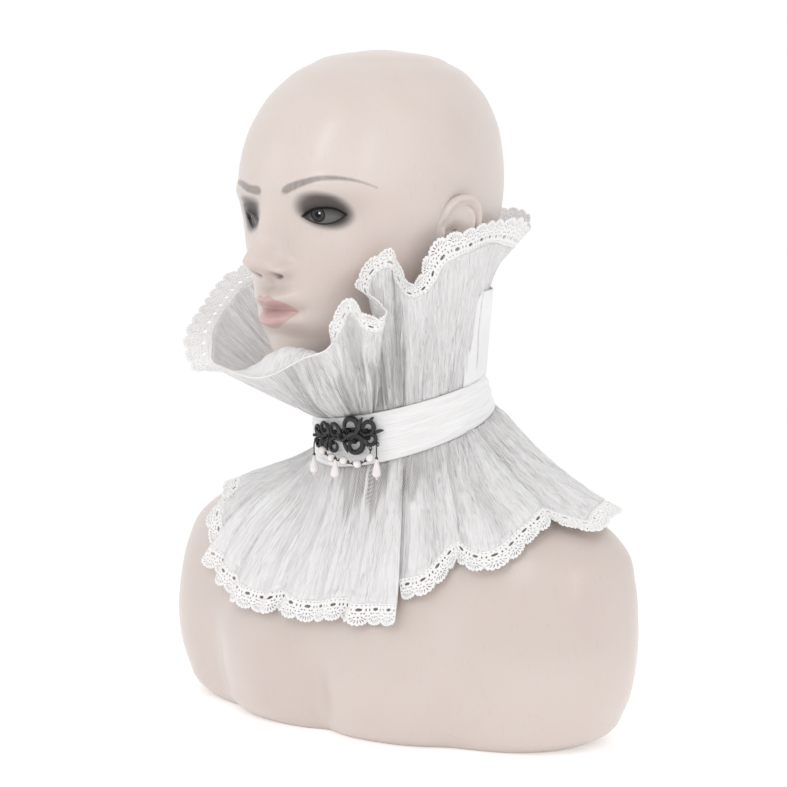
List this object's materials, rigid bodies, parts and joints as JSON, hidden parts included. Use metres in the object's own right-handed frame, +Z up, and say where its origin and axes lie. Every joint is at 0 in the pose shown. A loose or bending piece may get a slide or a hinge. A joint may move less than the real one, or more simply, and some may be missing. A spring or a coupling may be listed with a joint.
{
  "type": "detachable ruffle collar on a display bust",
  "caption": "Stand-up crinkle collar with lace edges, bib and shoulder flounces, a scrolled brooch with hanging pearls, on a smooth display bust.",
  "frame": {"origin": "on the floor under the bust, on the upright axis through its neck", "axes": "+Z up, the chest and the brooch face -Y, the wearer's left is +X"},
  "size_m": [0.3682, 0.2513, 0.4435],
  "materials": {
    "white_crinkle_cloth": "crinkled organza with a slight sheen",
    "white_lace": "matt cotton lace with eyelets",
    "white_stay_tape": "smooth stiffened tape",
    "dark_antique_metal": "dark antiqued cast scrolls with bright edges",
    "white_pearl": "pearl coat",
    "bust_satin_skin": "satin sprayed fibreglass"
  },
  "bodies": {
    "root": {"display_bust": "bust_satin_skin", "neck_band": "white_crinkle_cloth", "ruffle_collar": "white_crinkle_cloth", "back_stay_left": "white_stay_tape", "back_stay_right": "white_stay_tape", "front_bib": "white_crinkle_cloth", "front_bib_lace": "white_lace", "side_flounce_left": "white_crinkle_cloth", "side_flounce_left_lace": "white_lace", "side_flounce_right": "white_crinkle_cloth", "side_flounce_right_lace": "white_lace", "ruffle_lace": "white_lace", "brooch": "dark_antique_metal"},
    "swag": {"swag_pearl_1": "white_pearl", "swag_pearl_2": "white_pearl", "swag_pearl_3": "white_pearl", "swag_pearl_4": "white_pearl", "swag_pearl_5": "white_pearl", "swag_link_1": "dark_antique_metal", "swag_link_2": "dark_antique_metal", "swag_link_3": "dark_antique_metal", "swag_link_4": "dark_antique_metal", "swag_hook_right": "dark_antique_metal", "swag_hook_left": "dark_antique_metal"},
    "drop_middle": {"drop_middle_wire": "dark_antique_metal", "drop_middle_pearl": "white_pearl"},
    "drop_left": {"drop_left_wire": "dark_antique_metal", "drop_left_pearl": "white_pearl"},
    "drop_right": {"drop_right_wire": "dark_antique_metal", "drop_right_pearl": "white_pearl"}
  },
  "joints": [
    {"name": "swag_swing", "type": "hinge", "parent": "root", "child": "swag", "pos_m": [0.00358, -0.06142, 0.18725], "axis": [-0.9963, -0.0766, 0.0395], "range_deg": [0, 60]},
    {"name": "drop_right_swing", "type": "hinge", "parent": "root", "child": "drop_right", "pos_m": [-0.02465, -0.05986, 0.1895], "axis": [-0.9205, 0.3907, 0], "range_deg": [0, 60]},
    {"name": "drop_middle_swing", "type": "hinge", "parent": "swag", "child": "drop_middle", "pos_m": [-0.00177, -0.067, 0.1802], "axis": [-0.9997, 0.0262, 0], "range_deg": [0, 60]},
    {"name": "drop_left_swing", "type": "hinge", "parent": "root", "child": "drop_left", "pos_m": [0.02665, -0.0579, 0.1905], "axis": [-0.9063, -0.4226, 0], "range_deg": [0, 60]}
  ]
}
